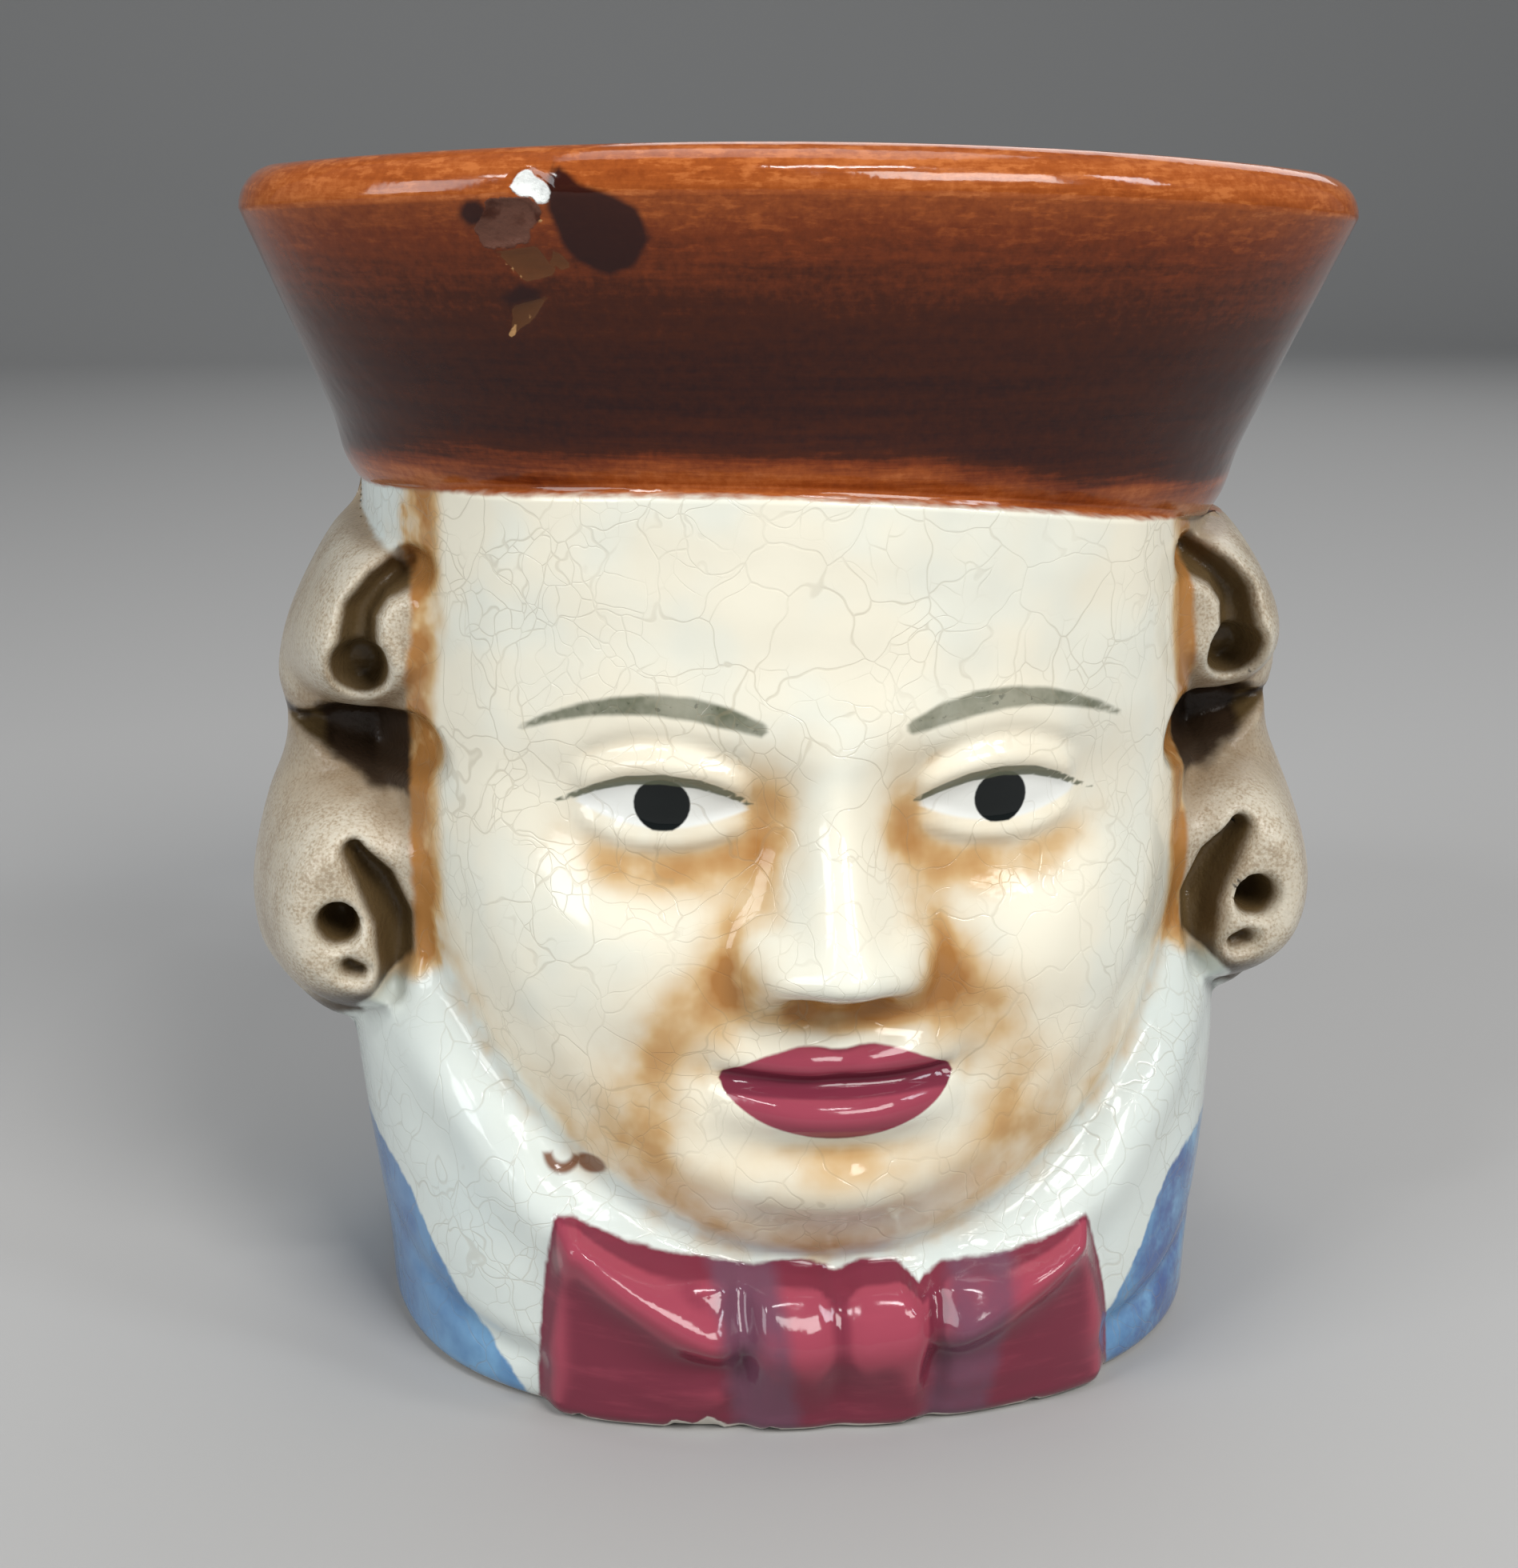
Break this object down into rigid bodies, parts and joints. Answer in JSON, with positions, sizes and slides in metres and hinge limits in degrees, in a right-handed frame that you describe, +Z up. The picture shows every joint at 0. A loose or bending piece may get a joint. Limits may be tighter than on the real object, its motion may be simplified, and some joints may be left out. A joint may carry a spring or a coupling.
{
  "type": "toby jug",
  "caption": "Small glazed ceramic jug shaped as a head in a cocked hat, with the hat brim as its rim, side curls, a neck bow and a loop handle behind.",
  "frame": {"origin": "centre of the flat underside, on the surface that the jug stands on", "axes": "+Z up, -Y the way the face looks, +Y towards the handle, +X the viewer's right when facing it"},
  "size_m": [0.0496, 0.0559, 0.052],
  "materials": {
    "glazed_earthenware": "gloss"
  },
  "bodies": {
    "root": {"jug": "glazed_earthenware"}
  },
  "joints": []
}
